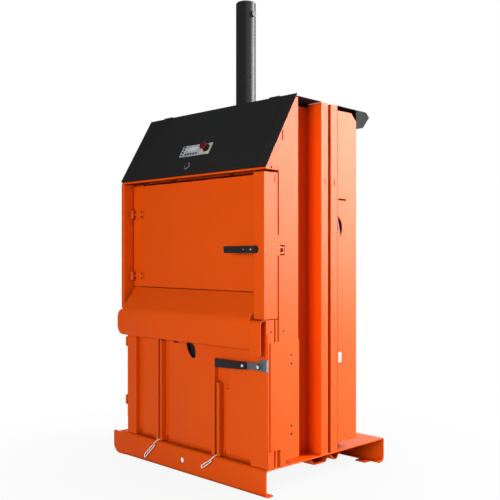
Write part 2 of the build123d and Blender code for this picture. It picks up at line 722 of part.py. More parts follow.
def upper_door():
    """Loading door: an inset skin with a deep box stile on the latch side."""
    skin = block(-DOOR_LEFT, HALF_WIDTH - SHEET, DOOR_FACE, DOOR_FACE + SHEET, DOOR_BOTTOM, DOOR_TOP)
    back = DOOR_FACE + DOOR_HEM
    rim = block(-DOOR_LEFT, STILE_X, DOOR_FACE, back, DOOR_BOTTOM, DOOR_TOP)
    rim -= block(-DOOR_LEFT + SHEET, STILE_X + 1, DOOR_FACE - 1, back + 1, DOOR_BOTTOM + SHEET,
                 DOOR_TOP - SHEET)
    stile = block(STILE_X, HALF_WIDTH, STILE_FRONT, STILE_BACK, STILE_BOTTOM, DOOR_TOP)
    stile -= block(STILE_X + SHEET, HALF_WIDTH - SHEET, STILE_FRONT + SHEET, STILE_BACK - SHEET,
                   STILE_BOTTOM - 1, DOOR_TOP + 1)
    tab = block(HALF_WIDTH - SHEET, HALF_WIDTH, STILE_BACK - 1, PANEL_FRONT - 1, 1020, 1108)
    door = skin + rim + stile + tab
    door -= block(HALF_WIDTH - 2 * SHEET, HALF_WIDTH + SHEET, 53, 58, 1331, 1364)
    door -= bar((HANDLE_X, STILE_FRONT - 1, HANDLE_Z), (0, 1, 0), 8 + RUN, SHEET + 2)
    return door


def upper_handle():
    """Black lever handle of the upper door with its shaft and inner cam."""
    front = STILE_FRONT - 18
    face = Pos(HANDLE_X - (HANDLE_LENGTH - HANDLE_END) / 2, HANDLE_Z) * RectangleRounded(
        HANDLE_LENGTH + HANDLE_END, HANDLE_HEIGHT, 8)
    grip = along_y(face, front, front + 13)
    grip = fillet(grip.faces().sort_by(Axis.Y)[0].edges(), 3)
    hub = bar((HANDLE_X, front + 12, HANDLE_Z), (0, 1, 0), 11, 5.6)
    shaft = bar((HANDLE_X, front + 12, HANDLE_Z), (0, 1, 0), 8, 50)
    cam = bar((HANDLE_X, front + 54, HANDLE_Z), (0, 1, 0), 8, 8)
    cam += block(HANDLE_X, HANDLE_X + 44, front + 54, front + 62, HANDLE_Z - 7, HANDLE_Z + 7)
    return grip + hub + shaft + cam


def bale_sheet():
    """Front sheet of the bale door, folded into panels and strap channels."""
    face = BALE_FACE + SHEET / 2
    back = BALE_BACK + SHEET / 2
    low, high = WIDE_Z
    parts = []
    half = SHEET / 2
    narrow = CHANNELS[2][1]
    for z0, z1, right in ((BALE_FOOT, low, narrow), (low, high, WIDE_RIGHT), (high, SKIN_TOP, WIDE_RIGHT)):
        line = [(-BALE_LEFT + half, back - 4), (-BALE_LEFT + half, face)]
        for x0, x1 in (CHANNELS[0], CHANNELS[1], (CHANNELS[2][0], right)):
            line += [(x0 - half, face), (x0 - half, back), (x1 + half, back), (x1 + half, face)]
        line += [(BALE_RIGHT, face)]
        parts.append(along_z(band(line, BEND, SHEET), z0, z1))
    sheet = parts[0] + parts[1] + parts[2]
    sheet += block(CHANNELS[2][1], WIDE_RIGHT + 4, BALE_FACE + SHEET, BALE_BACK + SHEET, low - SHEET, low)
    sheet += block(CHANNELS[2][0] - 6, WIDE_RIGHT + 6, BALE_FACE, BALE_FACE + SHEET, high, SKIN_TOP)
    top = STILE_BOTTOM - STILE_PLAY - SHEET - SEAT_GAP
    sheet += block(NOSE_BACK_HALF, BALE_RIGHT, BALE_FACE, BALE_FACE + SHEET, SKIN_TOP - 1, top)
    sheet += block(BALE_RIGHT - SHEET, BALE_RIGHT, POST_FRONT - 11, POST_FRONT - 1, top - 56, top)
    return sheet


def nose_sheet():
    """Chute sheet: slopes out from the chamber, drops and folds back to the door skin."""
    face = BALE_FACE + SHEET / 2
    front = NOSE_FRONT + SHEET / 2
    path = FilletPolyline((NOSE_TOP_Y, NOSE_TOP - SHEET), (front, NOSE_FOLD_Z), (front, NOSE_LOW_Z),
                          (face, NOSE_LOW_Z), radius=[NOSE_BEND, BEND])
    nose = along_x(trace(path, SHEET), -NOSE_LEFT, NOSE_SLOPE_RIGHT)
    fold = STILE_BOTTOM - STILE_PLAY
    left = -NOSE_LEFT
    ear = outline([(left - 1, NOSE_TOP + 9), (-NOSE_SLOPE_LEFT, NOSE_TOP + 9),
                   (-NOSE_SLOPE_LEFT, fold + 2), (-NOSE_SLOPE_LEFT - 14, fold), (left + 9, 735),
                   (left + 2, 720), (left, 706), (left - 1, 706)])
    nose -= along_y(ear, NOSE_FRONT - 1, NOSE_TOP_Y + 9)
    low = NOSE_LOW_Z - SHEET / 2
    corner = Pos(left + NOSE_CORNER / 2, low + NOSE_CORNER / 2) * Rectangle(NOSE_CORNER, NOSE_CORNER)
    corner -= Pos(left + NOSE_CORNER, low + NOSE_CORNER) * Circle(NOSE_CORNER)
    nose -= along_y(corner, NOSE_FRONT - 1, BALE_FACE + SHEET + 1)
    inside = NOSE_FRONT + 2
    end = outline([(inside, low + 1), (inside, NOSE_FOLD_Z - 14), (face, NOSE_FOLD_Z + 44), (face, low + 1)])
    nose += along_x(end, -NOSE_SLOPE_LEFT, -NOSE_SLOPE_LEFT + SHEET)
    rear = NOSE_TOP_Y - 4
    over = POST_TOP + 2
    gusset = outline([(inside + 5, fold - SHEET), (rear, NOSE_TOP - 10), (rear, over), (TONGUE_BACK, over),
                      (TONGUE_BACK, fold - SHEET)])
    nose += along_x(gusset, NOSE_SLOPE_RIGHT - SHEET, NOSE_SLOPE_RIGHT)
    return nose


def tongue():
    """Plate welded on at the right of the chute, below the stile, with a longer front leg."""
    top = STILE_BOTTOM - STILE_PLAY - SHEET / 2
    front = NOSE_FRONT + SHEET / 2
    line = FilletPolyline((TONGUE_BACK, top), (front, top), (front, TONGUE_BOTTOM), radius=TONGUE_BEND)
    sheet = along_x(trace(line, SHEET), NOSE_SLOPE_RIGHT + SEAT_GAP, NOSE_RIGHT)
    corner = Pos(NOSE_RIGHT - 5, TONGUE_BOTTOM + 5) * Rectangle(10, 10)
    corner -= Pos(NOSE_RIGHT - 10, TONGUE_BOTTOM + 10) * Circle(10)
    return sheet - along_y(corner, NOSE_FRONT - 1, NOSE_FRONT + SHEET + 1)


def hand_face():
    """Leaf-shaped hand hole, drawn in X and Z."""
    tip = (HAND_X - 33, HAND_Z + 36)
    top = (HAND_X + 2, HAND_Z + 36)
    side = (HAND_X + 32, HAND_Z)
    foot = (HAND_X + 32, HAND_Z - 30)
    low = (HAND_X + 8, HAND_Z - 35)
    edges = [Line(tip, top), ThreePointArc(top, (HAND_X + 23, HAND_Z + 21), side), Line(side, foot),
             Line(foot, low), ThreePointArc(low, (HAND_X - 20, HAND_Z - 8), tip)]
    return make_face(Wire(edges))


def lower_door():
    """Bale door: folded front sheet, chute nose, rear sheet and strap guides."""
    door = bale_sheet() + nose_sheet()
    back = NOSE_TOP_Y
    floor = BALE_BACK + SHEET / 2
    line = [(floor, HAND_Z - 60), (floor, SKIN_TOP - 4), (back, SKIN_TOP - 4), (back, NOSE_TOP - SHEET)]
    rear = band(line, 3.0, SHEET)
    rear = along_x(rear, -NOSE_BACK_HALF, NOSE_BACK_HALF)
    for x0, x1 in CHANNELS[1:]:
        rear -= block(x0 - 1, x1 + 1, 0, BALE_BACK + 2 * SHEET, 0, SKIN_TOP - 8)
    door += rear
    y1 = BALE_BACK + SHEET
    guide_tops = (SKIN_TOP - 6, WIDE_Z[0] + 25)
    for (x0, x1), width, top in zip(CHANNELS[1:], GUIDE_WIDTH, guide_tops):
        guide0 = x0 + SLIT_WIDTH
        door -= block(x0 + 1, guide0, BALE_BACK - 1, y1 + 1, BALE_FOOT - 1, top)
        guide = outline([(guide0, BALE_FOOT), (guide0, top), (guide0 + width, top - GUIDE_CUT),
                         (guide0 + width, BALE_FOOT)])
        door += along_y(guide, BALE_FACE + 1, y1)
    second = CHANNELS[1][0] + SLIT_WIDTH + GUIDE_WIDTH[0]
    third = CHANNELS[2][0] + SLIT_WIDTH + GUIDE_WIDTH[1]
    notches = ((CHANNELS[0][0] + NOTCH_IN, CHANNELS[1][0] - NOTCH_SIDE),
               (second + NOTCH_GUIDE, CHANNELS[2][0] - NOTCH_SIDE),
               (third + NOTCH_GUIDE, BALE_RIGHT - NOTCH_RIGHT))
    for x0, x1 in notches:
        door -= block(x0, x1, BALE_FACE - 1, y1 + 1, BALE_FOOT - 1, BALE_FOOT + BALE_NOTCH)
    for z in LOWER_HINGE_Z:
        door -= block(-BALE_LEFT - 1, -BALE_LEFT + 8, BALE_FACE + SHEET, BALE_FACE + SHEET + LEAF + SEAT_GAP,
                      z - LOWER_EYE / 2 - SEAT_GAP, z + LOWER_EYE / 2 + SEAT_GAP)
    door -= along_y(hand_face(), BALE_FACE - 2, BALE_FACE + SHEET + 1)
    door -= bar((LATCH_X, BALE_FACE - 2, LATCH_Z), (0, 1, 0), 6 + RUN, 3 * SHEET)
    door -= block(-103, -66, BALE_FACE - 1, BALE_FACE + SHEET + 1, 607, 613)
    return group([door, tongue()])


def hand_liner():
    """Black liner behind the hand hole of the bale door."""
    x0 = HAND_X - 39
    x1 = HAND_X + 38
    tray = block(x0, x1, BALE_FACE + SHEET, BALE_BACK, HAND_Z - 40, HAND_Z + 38)
    tray -= block(x0 + 2, x1 - 2, BALE_FACE, BALE_BACK - 2, HAND_Z - 38, HAND_Z + 36)
    return tray


def latch_plate():
    """Steel plate behind the bale door latch, folded round the door's edge."""
    x0, x1 = LATCH_PLATE_X
    z0, z1 = LATCH_PLATE_Z
    plate = block(x0, x1, BALE_FACE - 5, BALE_FACE, z0, z1)
    plate += block(BALE_RIGHT + SEAT_GAP, x1, BALE_FACE - 5, POST_FRONT - 1, z0, z1)
    plate = fillet(plate.edges().filter_by(Axis.Y).sort_by(Axis.X)[:2], 4)
    return plate - bar((LATCH_X, BALE_FACE - 6, LATCH_Z), (0, 1, 0), 6 + RUN, 8)


def latch_bar():
    """Steel arm of the bale door latch on its pivot bolt."""
    x0 = GRIP_X[1] - 40
    x1 = LATCH_X + 16
    face = Pos((x0 + x1) / 2, LATCH_Z) * RectangleRounded(x1 - x0, 30, 5)
    arm = along_y(face, BALE_FACE - 14, BALE_FACE - 5.5)
    arm += bar((LATCH_X, BALE_FACE - 20, LATCH_Z), (0, 1, 0), 8, 8)
    arm += bar((LATCH_X, BALE_FACE - 14, LATCH_Z), (0, 1, 0), 6, 19)
    return arm


def latch_grip():
    """Black grip bolted to the latch arm, a little deeper at its free end."""
    x0, x1 = GRIP_X
    face = outline([(x0, GRIP_LEFT_Z[0]), (x1, GRIP_RIGHT_Z[0]), (x1, GRIP_RIGHT_Z[1]),
                    (x0, GRIP_LEFT_Z[1])])
    face = fillet(face.vertices(), 4)
    grip = along_y(face, BALE_FACE - 32, BALE_FACE - 14.3)
    return fillet(grip.faces().sort_by(Axis.Y)[0].edges(), 3)


def latch_bolt():
    """Bolt that holds the grip on the arm."""
    return bar((GRIP_X[1] - 9, BALE_FACE - 37, LATCH_Z), (0, 1, 0), 6.5, 4.7)


def lower_hinges_fixed():
    """Frame halves of the two bale door hinges."""
    out = []
    for z in LOWER_HINGE_Z:
        out.append(hinge_fixed(LOWER_AXIS, z, LOWER_KNUCKLE_R, LOWER_HINGE_H, LOWER_EYE, -LOWER_REACH,
                               POST_LEFT_FRONT))
    return group(out)


def lower_hinge_leaves():
    """Door halves of the two bale door hinges."""
    x, y = LOWER_AXIS
    back = BALE_FACE + SHEET
    out = []
    for z in LOWER_HINGE_Z:
        low = z - LOWER_EYE / 2
        leaf = bar((x, y, low), (0, 0, 1), LOWER_KNUCKLE_R, LOWER_EYE)
        leaf += block(x, x + 60, back, back + LEAF, low, low + LOWER_EYE)
        out.append(leaf - bar((x, y, low - 1), (0, 0, 1), LOWER_KNUCKLE_R - PIN_WALL + RUN, LOWER_EYE + 2))
    return group(out)


def cross_beam():
    """Box beam between the columns that carries the ram."""
    half = WALL_OUT - WALL - SEAT_GAP
    y0, y1 = BEAM_Y
    z0, z1 = BEAM_Z
    body = block(-half, half, y0, y1, z0, z1)
    body -= block(-half - 1, half + 1, y0 + BEAM_WALL, y1 - BEAM_WALL, z0 + BEAM_WALL, z1 - BEAM_WALL)
    return body - bar((0, RAM_Y, z0 - 1), (0, 0, 1), TUBE_R + 0.4, z1 - z0 + 2)


def ram_flange():
    """Square flange that bolts the ram to the beam."""
    z = BEAM_Z[1]
    flange = Pos(0, RAM_Y, z) * extrude(RectangleRounded(2 * FLANGE_HALF, 116, 8), amount=FLANGE_T)
    return flange - bar((0, RAM_Y, z - 1), (0, 0, 1), TUBE_R + 0.1, FLANGE_T + 2)


def ram_tube():
    """Cylinder tube with its domed end cap and filler boss."""
    inner = TUBE_R - TUBE_WALL
    cap = TUBE_TOP - CAP_T
    profile = outline([(inner, TUBE_BOTTOM), (TUBE_R, TUBE_BOTTOM), (TUBE_R, TUBE_TOP - 6),
                       (TUBE_R - 6, TUBE_TOP), (0, TUBE_TOP), (0, cap), (inner, cap)])
    tube = Pos(0, RAM_Y, 0) * revolve(Plane.XZ * profile, Axis.Z)
    tube += bar((TUBE_R - 4, RAM_Y, 2224), (1, 0, 0), 14, 14)
    tube += bar((-TUBE_R + 4, RAM_Y, PORT_Z), (-1, 0, 0), PIPE_R + 2, 16)
    return tube


def ram_gland():
    """Gland ring that closes the foot of the tube round the rod."""
    r = TUBE_R - TUBE_WALL - 0.02
    ring = bar((0, RAM_Y, TUBE_BOTTOM), (0, 0, 1), r, GLAND_T)
    ring += bar((0, RAM_Y, TUBE_BOTTOM - 12), (0, 0, 1), TUBE_R - 4, 12)
    return ring - bar((0, RAM_Y, TUBE_BOTTOM - 20), (0, 0, 1), ROD_R + RUN, GLAND_T + 40)


def piston_rod():
    """Chromed rod with the piston on its upper end."""
    low = PLATEN_BOTTOM + PLATEN_T + SOCKET_H
    high = TUBE_TOP - CAP_T - 8
    rod = bar((0, RAM_Y, low), (0, 0, 1), ROD_R, high - low)
    return rod + bar((0, RAM_Y, high - PISTON_T), (0, 0, 1), TUBE_R - TUBE_WALL - RUN, PISTON_T)


def platen():
    """Ribbed press plate with strap grooves and a central rod socket."""
    y0, y1 = PLATEN_Y
    low = PLATEN_BOTTOM + PLATEN_T
    body = block(-PLATEN_HALF, PLATEN_HALF, y0, y1, PLATEN_BOTTOM, low)
    half = PLATEN_RIB / 2
    for y in (y0 + half, (y0 + RAM_Y) / 2, RAM_Y + 60, y1 - half):
        body += block(-PLATEN_HALF, PLATEN_HALF, y - half, y + half, low - 1, low + PLATEN_H)
    for x in (-PLATEN_HALF + half, -STRAP_X - 30, -70, 70, STRAP_X + 30, PLATEN_HALF - half):
        body += block(x - half, x + half, y0, y1, low - 1, low + PLATEN_H - 10)
    body += bar((0, RAM_Y, low - 1), (0, 0, 1), SOCKET_R, SOCKET_H + 1)
    for cut in strap_slots(y0 - 1, y1 + 1, PLATEN_BOTTOM - 1, PLATEN_BOTTOM + 6):
        body -= cut
    return body


def platen_shoes():
    """Nylon shoes that guide the platen on the chamber walls."""
    shoes = []
    for side in (-1, 1):
        for y in SHOE_Y:
            x0 = side * PLATEN_HALF
            x1 = x0 + side * SHOE_T
            shoes.append(block(x0, x1, y - SHOE_HALF, y + SHOE_HALF, PLATEN_BOTTOM + 6,
                               PLATEN_BOTTOM + 6 + 2 * SHOE_HALF))
    return group(shoes)


def service_shelf():
    """Shelf above the platen for the power unit and the control box."""
    half = WALL_OUT - WALL - SEAT_GAP
    line = [(SHELF_Y[0], SHELF_Z + SHELF_LIP[0]), (SHELF_Y[0], SHELF_Z - SHEET / 2),
            (SHELF_Y[1], SHELF_Z - SHEET / 2), (SHELF_Y[1], SHELF_Z + SHELF_LIP[1])]
    return along_x(band(line, BEND, SHEET), -half, half)


def oil_tank():
    """Oil tank of the power unit with its filler neck."""
    tank = block(TANK_X[0], TANK_X[1], TANK_Y[0], TANK_Y[1], SHELF_Z, SHELF_Z + TANK_H)
    tank = fillet(tank.edges().filter_by(Axis.Z), 12)
    tank += bar((TANK_X[0] + 30, TANK_Y[0] + 40, SHELF_Z + TANK_H), (0, 0, 1), 14, 16)
    return tank


def pump_motor():
    """Electric motor and pump, a ribbed round housing lying beside the tank."""
    y = (TANK_Y[0] + TANK_Y[1]) / 2
    z = SHELF_Z + MOTOR_R + 8
    body = bar((TANK_X[1], y, z), (1, 0, 0), MOTOR_R - 5, MOTOR_L)
    for i in range(9):
        body += bar((TANK_X[1] + 20 + i * 12, y, z), (1, 0, 0), MOTOR_R, 5)
    body += block(TANK_X[1] + 20, TANK_X[1] + MOTOR_L - 14, y - 30, y + 30, SHELF_Z, z)
    return body


def valve_block():
    """Valve block on top of the tank."""
    block_top = SHELF_Z + TANK_H
    body = block(TANK_X[1] - 90, TANK_X[1] - 20, TANK_Y[1] - 60, TANK_Y[1] - 10, block_top, block_top + 34)
    return body + bar((TANK_X[1] - 90, TANK_Y[1] - 35, block_top + 18), (-1, 0, 0), 11, 30)


def control_box():
    """Electrical enclosure beside the power unit."""
    box = block(BOX_X[0], BOX_X[1], BOX_Y[0], BOX_Y[1], SHELF_Z, SHELF_Z + BOX_H)
    return fillet(box.edges().filter_by(Axis.Z), 6)


def strap_spool(side):
    """Spool of tying strap: two flanges and the wound pack in one turning."""
    x0, x1 = SPOOL_X
    profile = outline([(x0, SPOOL_BORE + RUN), (x1, SPOOL_BORE + RUN), (x1, SPOOL_R), (x1 - 2.5, SPOOL_R),
                       (x1 - 2.5, SPOOL_R - 9), (x0 + 2.5, SPOOL_R - 9), (x0 + 2.5, SPOOL_R), (x0, SPOOL_R)])
    spool = Pos(0, SPOOL_Y, SPOOL_Z) * revolve(Plane.XY * profile, Axis.X)
    return spool if side > 0 else other_side(spool)


def spool_pins():
    """Pins on the chamber walls that carry the strap spools."""
    pin = bar((WALL_OUT, SPOOL_Y, SPOOL_Z), (1, 0, 0), SPOOL_BORE, HALF_WIDTH - SHEET - WALL_OUT)
    return group([pin, other_side(pin)])


def door_catch():
    """Catch for the upper door inside the right side casing."""
    y0, y1 = CATCH_Y
    z0, z1 = CATCH_Z
    inner = PANEL_FACE - SHEET
    body = block(inner - 24, inner, y0 - 3, y1 + 3, z0 + 6, z1 - 6)
    return body - block(inner - 14, inner + 1, y0 + 6, y1 - 8, z0 + 14, z1 - 14)


def pressure_pipe():
    """Bent steel pipe from the valve block to the ram."""
    y = TANK_Y[1] - 35
    x = TANK_X[1] - 20
    z = SHELF_Z + TANK_H + 17
    line = FilletPolyline((x, y, z), (x + 30, y, z), (x + 30, y, PORT_Z), (x + 30, RAM_Y, PORT_Z),
                          (-TUBE_R - 12, RAM_Y, PORT_Z), radius=12)
    return sweep((line ^ 0) * Circle(PIPE_R), path=line)


def cord(points):
    """Round strap cord along straight runs joined by tangent arcs."""
    radii = []
    for a, b, c in zip(points, points[1:], points[2:]):
        first = Vector(*b) - Vector(*a)
        second = Vector(*c) - Vector(*b)
        turn = radians(first.get_angle(second))
        radii.append(0.45 * min(first.length, second.length) / tan(turn / 2))
    print("radii", [round(r, 1) for r in radii])
    line = FilletPolyline(*points, radius=radii)
    tube = sweep((line ^ 0) * Circle(CORD_R), path=line)
    print("length", round(line.length, 1), "volume over section times length",
          round(tube.volume / (pi * CORD_R ** 2 * line.length), 4))
    return tube


def strap_tail_left():
    """Loop of tying strap that hangs out over the front of the base on the left."""
    return cord(TAIL_LEFT)


def strap_tail_right():
    """Loop of tying strap that hangs out over the front of the base on the right."""
    return cord(TAIL_RIGHT)


def strap_strand():
    """Strand of strap that hangs inside the right rear casing, past the leaf hole."""
    return cord(STRAND)


MAKERS = {
    "base_frame": base_frame, "base_ribs": base_ribs, "floor_tray": floor_tray,
    "chamber_shell": chamber_shell,
    "post_right": post_right, "post_left": post_left,
    "lower_side_plate_right": lambda: lower_side_plate(SIDE_PLATE_FRONT),
    "lower_side_plate_left": lambda: other_side(lower_side_plate(POST_LEFT_FRONT)),
    "side_panel_front_right": lambda: side_panel_front(True),
    "side_panel_front_left": lambda: other_side(side_panel_front(False)),
    "column_right": column, "column_left": lambda: other_side(column()),
    "side_panel_rear_right": side_panel_rear_right,
    "side_panel_rear_left": lambda: other_side(side_panel_rear()),
    "rear_cover": rear_cover, "roof": roof, "hood_frame": hood_frame, "hood_hatch": hood_hatch,
    "hatch_hinges": hatch_hinges, "control_panel": control_panel, "estop_collar": estop_collar,
    "estop_button": estop_button, "hatch_lock": hatch_lock,
    "header_beam": header_beam, "left_cheek": left_cheek, "upper_hinges_fixed": upper_hinges_fixed,
    "upper_hinge_leaves": upper_hinge_leaves, "upper_door": upper_door, "upper_handle": upper_handle,
    "lower_door": lower_door, "hand_liner": hand_liner, "latch_plate": latch_plate, "latch_bar": latch_bar,
    "latch_grip": latch_grip, "latch_bolt": latch_bolt, "lower_hinges_fixed": lower_hinges_fixed,
    "lower_hinge_leaves": lower_hinge_leaves, "cross_beam": cross_beam, "ram_flange": ram_flange,
    "ram_tube": ram_tube, "ram_gland": ram_gland, "piston_rod": piston_rod, "platen": platen,
    "platen_shoes": platen_shoes, "service_shelf": service_shelf, "oil_tank": oil_tank,
    "pump_motor": pump_motor, "valve_block": valve_block, "control_box": control_box,
    "strap_spool_right": lambda: strap_spool(1), "strap_spool_left": lambda: strap_spool(-1),
    "spool_pins": spool_pins, "door_catch": door_catch, "type_plate": type_plate,
    "upper_door_bolts": upper_door_bolts, "frame_bolts": frame_bolts, "pressure_pipe": pressure_pipe,
    "strap_tail_left": strap_tail_left, "strap_tail_right": strap_tail_right, "strap_strand": strap_strand,
}

MIDDLE = Pos(-(HALF_WIDTH - BASE_EAR) / 2, -(NOSE_FRONT + BASE_DEPTH) / 2, 0)

os.makedirs("parts", exist_ok=True)
for name, maker in MAKERS.items():
    export_step(MIDDLE * maker(), f"parts/{name}.step")
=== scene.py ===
import json
import math

import bmesh
import bpy
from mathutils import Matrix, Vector


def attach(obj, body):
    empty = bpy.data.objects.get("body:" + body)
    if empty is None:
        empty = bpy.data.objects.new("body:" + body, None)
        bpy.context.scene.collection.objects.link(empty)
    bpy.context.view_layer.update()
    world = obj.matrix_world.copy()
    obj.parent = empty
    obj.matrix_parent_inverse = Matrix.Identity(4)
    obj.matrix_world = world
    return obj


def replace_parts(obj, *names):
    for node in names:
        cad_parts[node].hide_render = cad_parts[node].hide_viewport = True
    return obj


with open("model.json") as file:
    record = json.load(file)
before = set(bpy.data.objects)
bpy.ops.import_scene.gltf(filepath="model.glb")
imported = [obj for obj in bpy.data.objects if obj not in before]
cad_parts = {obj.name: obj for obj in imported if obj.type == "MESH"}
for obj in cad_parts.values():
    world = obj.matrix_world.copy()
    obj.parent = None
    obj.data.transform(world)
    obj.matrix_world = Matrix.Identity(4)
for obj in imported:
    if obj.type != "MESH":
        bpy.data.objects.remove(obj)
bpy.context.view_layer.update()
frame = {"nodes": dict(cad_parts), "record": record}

# Layout. Measures of the press are in millimetres, from its front plane and its
# middle, and these two steps, in metres, move them into the frame of the part.
MID_X = -0.031
MID_Y = 0.4045
HOOD_FRONT_Z = 1400.0
HOOD_WAY = (0.506454, 0.862269)


def at(x, y, z):
    """A point of the press as a vector in the frame."""
    return Vector((x / 1000 - MID_X, y / 1000 - MID_Y, z / 1000))


def on_hood(x, s, h=0.0):
    """A point on the sloping hood: across, up the slope and out of it."""
    y, z = HOOD_WAY
    return at(x, s * y - h * z, HOOD_FRONT_Z + s * z + h * y)


# Camera, fitted to the photograph: place, turn from the front, lens and shift
CAMERA_PLACE = (2778.0, -2323.0, 1021.2)
CAMERA_TURN = 45.356
CAMERA_LENS = 55.62
CAMERA_SHIFT = 0.01106

cam = bpy.data.cameras.new("view")
view = bpy.data.objects.new("view", cam)
bpy.context.collection.objects.link(view)
cam.sensor_width = 36.0
cam.lens = CAMERA_LENS
cam.shift_y = CAMERA_SHIFT
cam.clip_end = 60.0
view.location = at(*CAMERA_PLACE)
view.rotation_euler = (math.radians(90), 0, math.radians(CAMERA_TURN))
bpy.context.scene.camera = view
bpy.context.scene.view_settings.view_transform = "Standard"


# Straps: the same points as in the part's source
STRAP_R = 0.0025
TAIL_LEFT = (
    (-216, 68, 123.6), (-216, 37, 123.6), (-217, 5, 124.5), (-223, -12.5, 109),
    (-239, -14.5, 93), (-262, -14, 74), (-282, -13, 58.5), (-295, -12.5, 46),
    (-304, -12.5, 36), (-302.3, -13, 29.2), (-295.6, -14, 27.3), (-286, -15, 35.5),
    (-268, -15.5, 53), (-246, -15.5, 72.5), (-228, -15, 88), (-216, -15, 101),
)
TAIL_RIGHT = (
    (198, 68, 123.6), (198, 38, 123.6), (198.5, 9, 125), (196.5, -11, 113),
    (181, -14.5, 100), (164, -14, 90), (147, -13, 80.5), (134, -12.5, 73),
    (124, -12.5, 67.5), (123.9, -13, 60.5), (129.9, -14, 56.9), (140.5, -15, 62.7),
    (157, -15.5, 73.3), (174, -15.5, 84.6), (187, -15.5, 93.6), (196, -15.5, 101),
)
STRAND = (
    (513, 479.7, 1204), (513, 486, 1172), (513, 497, 1138), (512, 511, 1098),
    (511, 528, 1048), (509, 545, 990), (507, 556, 930), (506, 560, 868),
    (506, 559, 806), (507, 556, 744),
)


def strap(name, node, points):
    """One strap as a smooth curve through its route, riding on the frame in place of the part's
    strap node.
    """
    curve = bpy.data.curves.new(name, "CURVE")
    curve.dimensions = "3D"
    spline = curve.splines.new("NURBS")
    spline.points.add(len(points) - 1)
    for knot, point in zip(spline.points, points):
        knot.co = (*at(*point), 1.0)
    spline.order_u = 3
    spline.use_endpoint_u = True
    spline.resolution_u = 10
    curve.bevel_depth = STRAP_R
    curve.bevel_resolution = 4
    curve.use_fill_caps = True
    curve.materials.append(STRAP)
    obj = bpy.data.objects.new(name, curve)
    bpy.context.collection.objects.link(obj)
    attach(obj, "frame")
    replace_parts(obj, node)


# Materials
def rgb(r, g, b):
    """A colour with full alpha."""
    return (r, g, b, 1.0)


class Tree:
    """A node tree with short calls."""

    def __init__(self, tree):
        self.tree = tree

    def feed(self, socket, value):
        """Link what comes from another node, and set what is a plain value."""
        if isinstance(value, bpy.types.NodeSocket):
            self.tree.links.new(value, socket)
        else:
            socket.default_value = value

    def set(self, node, key, value):
        """Feed a socket by its name, or set a property where no socket has it."""
        name = key.replace("_", " ")
        if name in node.inputs:
            self.feed(node.inputs[name], value)
        else:
            setattr(node, key, value)

    def new(self, kind, **inputs):
        """A shader node, with underscores for the spaces in its sockets' names."""
        node = self.tree.nodes.new("ShaderNode" + kind)
        for key, value in inputs.items():
            self.set(node, key, value)
        return node

    def ramp(self, value, low, high, a, b, **options):
        """Map low to high onto a to b."""
        node = self.new("MapRange", Value=value, From_Min=low, From_Max=high, To_Min=a, To_Max=b,
                        **options)
        return node.outputs[0]

    def math(self, op, *values):
        """One step of arithmetic."""
        node = self.new("Math", operation=op)
        for socket, value in zip(node.inputs, values):
            self.feed(socket, value)
        return node.outputs[0]

    def mix_shader(self, fac, a, b):
        """Shader a, going over to shader b with the factor."""
        node = self.new("MixShader")
        for socket, value in zip(node.inputs, (fac, a, b)):
            self.feed(socket, value)
        return node.outputs[0]


class Material(Tree):
    """A new material with its Principled shader."""

    def __init__(self, name):
        self.mat = bpy.data.materials.new(name)
        self.mat.use_nodes = True
        super().__init__(self.mat.node_tree)
        self.bsdf = self.tree.nodes["Principled BSDF"]

    def out(self, key, value):
        """Feed a socket of the Principled shader."""
        self.set(self.bsdf, key, value)

    def coords(self):
        """Object coordinates."""
        return self.new("TexCoord").outputs["Object"]

    def noise(self, scale, detail=3.0, rough=0.5, stretch=None):
        """Noise over the object, stretched along its axes where asked."""
        vector = self.coords()
        if stretch:
            vector = self.new("Mapping", Vector=vector, Scale=stretch).outputs[0]
        node = self.new("TexNoise", Vector=vector, Scale=scale, Detail=detail, Roughness=rough)
        return node.outputs["Fac"]

    def mix(self, fac, a, b):
        """Colour a, going over to colour b with the factor."""
        node = self.new("Mix", data_type="RGBA")
        for index, value in ((0, fac), (6, a), (7, b)):
            self.feed(node.inputs[index], value)
        return node.outputs[2]

    def tint(self, colour, value):
        """A colour, lighter or darker by a value."""
        return self.new("HueSaturation", Color=rgb(*colour), Value=value).outputs[0]

    def bump(self, height, strength, distance, edge=0.0):
        """Relief on the surface, over softly rounded edges where a radius is given."""
        node = self.new("Bump", Strength=strength, Distance=distance, Height=height)
        if edge:
            rounded = self.new("Bevel", samples=4, Radius=edge)
            self.tree.links.new(rounded.outputs[0], node.inputs["Normal"])
        self.out("Normal", node.outputs[0])


def powder_coat(name, colour, deep, rough, grain, strength, shine=0.5, edge=0.0012):
    """Powder coat: orange peel, a slight drift of tone, and painted shade that darkens the colour
    in tight corners.
    """
    m = Material(name)
    tone = m.ramp(m.noise(3.0, 2.0), 0.3, 0.7, 0.0, 1.0)
    coat = m.mix(tone, rgb(*deep), rgb(*colour))
    # Painted shade: an ambient occlusion mask darkens the base colour towards 0.6 of the deep
    # tone in corners and recesses
    reach = m.new("AmbientOcclusion", Distance=0.05, samples=4).outputs["AO"]
    corner = rgb(*(0.6 * c for c in deep))
    m.out("Base Color", m.mix(m.ramp(reach, 0.15, 0.65, 0.0, 1.0), corner, coat))
    m.out("Roughness", m.ramp(m.noise(90.0, 2.0), 0.3, 0.7, rough - 0.04, rough + 0.05))
    m.bump(m.noise(grain, 3.0, 0.55), strength, 0.0006, edge)
    m.out("Specular IOR Level", shine)
    return m.mat


def metal(name, colour, rough, stretch, scale=180.0, metallic=1.0):
    """Plated or brushed steel with a fine drawn grain."""
    m = Material(name)
    grain = m.noise(scale, 4.0, 0.6, stretch)
    m.out("Base Color", m.tint(colour, m.ramp(m.noise(9.0, 3.0), 0.3, 0.75, 0.82, 1.08)))
    m.out("Metallic", metallic)
    m.out("Roughness", m.ramp(grain, 0.25, 0.75, rough - 0.08, rough + 0.1))
    m.bump(grain, 0.15, 0.0002, 0.0006)
    return m.mat


